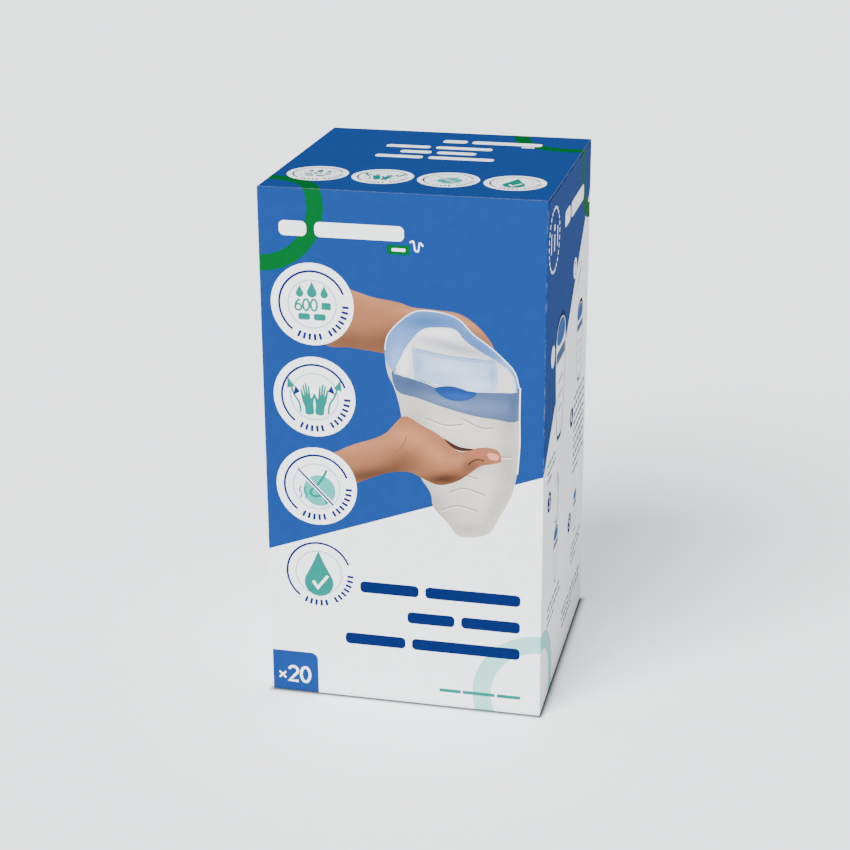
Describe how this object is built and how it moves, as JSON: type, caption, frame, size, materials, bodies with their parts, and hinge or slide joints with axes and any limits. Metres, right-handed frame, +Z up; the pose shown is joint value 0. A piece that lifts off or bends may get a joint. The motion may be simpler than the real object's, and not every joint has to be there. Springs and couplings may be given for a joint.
{
  "type": "carton of disposable urinal bags",
  "caption": "Printed paperboard carton with a tuck-in lid, glued bottom and dust flaps, holding flat absorbent male urinal bags.",
  "frame": {"origin": "centre of the carton's underside", "axes": "+Z up, front panel facing -Y, right side panel facing +X"},
  "size_m": [0.126, 0.124, 0.24],
  "materials": {
    "printed_board": "satin",
    "plain_board": "matte",
    "white_film": "satin",
    "blue_film": "satin",
    "pad": "matte"
  },
  "bodies": {
    "carton": {"front_panel": "printed_board", "right_panel": "printed_board", "back_panel": "printed_board", "left_panel": "printed_board", "glue_flap": "plain_board", "bottom_flap_front": "plain_board", "bottom_flap_back": "plain_board", "bottom_flap_left": "plain_board", "bottom_flap_right": "plain_board", "urinal_01_pocket": "white_film", "urinal_02_pocket": "white_film", "urinal_03_pocket": "white_film", "urinal_04_pocket": "white_film", "urinal_05_pocket": "white_film", "urinal_06_pocket": "white_film", "urinal_07_pocket": "white_film", "urinal_08_pocket": "white_film", "urinal_09_pocket": "white_film", "urinal_10_pocket": "white_film", "urinal_11_pocket": "white_film", "urinal_12_pocket": "white_film", "urinal_13_pocket": "white_film", "urinal_14_pocket": "white_film", "urinal_15_pocket": "white_film", "urinal_16_pocket": "white_film", "urinal_17_pocket": "white_film", "urinal_18_pocket": "white_film", "urinal_19_pocket": "white_film", "urinal_20_pocket": "white_film", "urinal_01_collar": "blue_film", "urinal_02_collar": "blue_film", "urinal_03_collar": "blue_film", "urinal_04_collar": "blue_film", "urinal_05_collar": "blue_film", "urinal_06_collar": "blue_film", "urinal_07_collar": "blue_film", "urinal_08_collar": "blue_film", "urinal_09_collar": "blue_film", "urinal_10_collar": "blue_film", "urinal_11_collar": "blue_film", "urinal_12_collar": "blue_film", "urinal_13_collar": "blue_film", "urinal_14_collar": "blue_film", "urinal_15_collar": "blue_film", "urinal_16_collar": "blue_film", "urinal_17_collar": "blue_film", "urinal_18_collar": "blue_film", "urinal_19_collar": "blue_film", "urinal_20_collar": "blue_film", "absorbent_pads": "pad"},
    "lid": {"lid_panel": "printed_board"},
    "tuck_flap": {"lid_tuck_flap": "printed_board"},
    "left_dust_flap": {"dust_flap_left": "plain_board"},
    "right_dust_flap": {"dust_flap_right": "plain_board"}
  },
  "joints": [
    {"name": "lid_open", "type": "hinge", "parent": "carton", "child": "lid", "pos_m": [0, 0.062, 0.24], "axis": [-1, 0, 0], "range_deg": [0, 175]},
    {"name": "tuck_flap_fold", "type": "hinge", "parent": "lid", "child": "tuck_flap", "pos_m": [0, -0.0612, 0.24], "axis": [1, 0, 0], "range_deg": [-79, 0]},
    {"name": "left_dust_flap_open", "type": "hinge", "parent": "carton", "child": "left_dust_flap", "pos_m": [-0.063, 0, 0.2393], "axis": [0, -1, 0], "range_deg": [0, 106]},
    {"name": "right_dust_flap_open", "type": "hinge", "parent": "carton", "child": "right_dust_flap", "pos_m": [0.063, 0, 0.2393], "axis": [0, 1, 0], "range_deg": [0, 106]}
  ],
  "couplings": [
    {"joint": "tuck_flap_fold", "follows": "lid_open", "ratio": -0.45},
    {"joint": "left_dust_flap_open", "follows": "lid_open", "ratio": 0.6},
    {"joint": "right_dust_flap_open", "follows": "lid_open", "ratio": 0.6}
  ]
}
